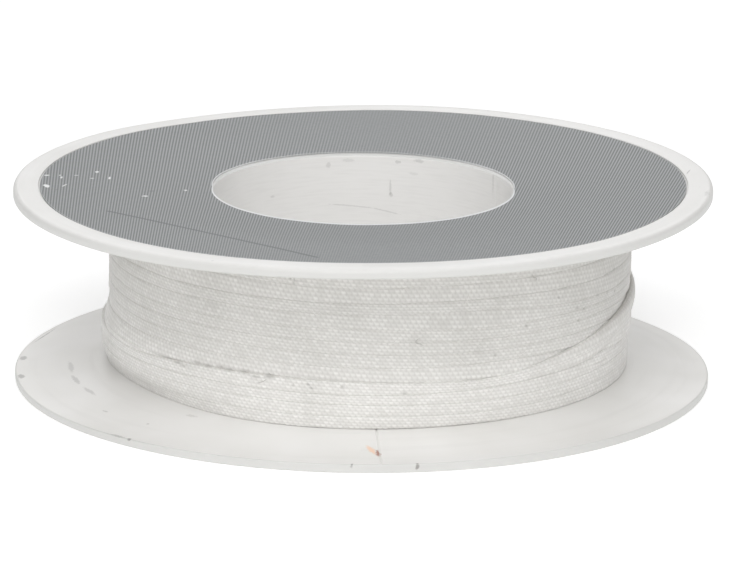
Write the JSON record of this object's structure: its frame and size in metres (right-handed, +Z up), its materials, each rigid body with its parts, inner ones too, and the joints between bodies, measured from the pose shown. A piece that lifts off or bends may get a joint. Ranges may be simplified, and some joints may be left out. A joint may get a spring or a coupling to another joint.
{
  "type": "cord reel",
  "caption": "Small flanged plastic reel wound with braided cord, with a ring label on its upper flange and a wide bore that goes right through.",
  "frame": {"origin": "middle of the lower flange's foot ring, on the surface that the reel stands on", "axes": "+Z up along the bore's axis, -Y towards the side where the loose stretch of cord starts to climb, +X to that side's right"},
  "size_m": [0.1, 0.1, 0.029],
  "materials": {
    "spool_plastic": "white injection-moulded polystyrene, satin, lightly soiled",
    "label_paper": "grey printed paper with a fine line screen, matte film over it",
    "braided_cord": "white braided polyester, dull"
  },
  "bodies": {
    "root": {"lower_flange": "spool_plastic", "upper_flange": "spool_plastic", "barrel": "spool_plastic", "ring_label": "label_paper", "inner_layers": "braided_cord", "outer_turns": "braided_cord"}
  },
  "joints": []
}
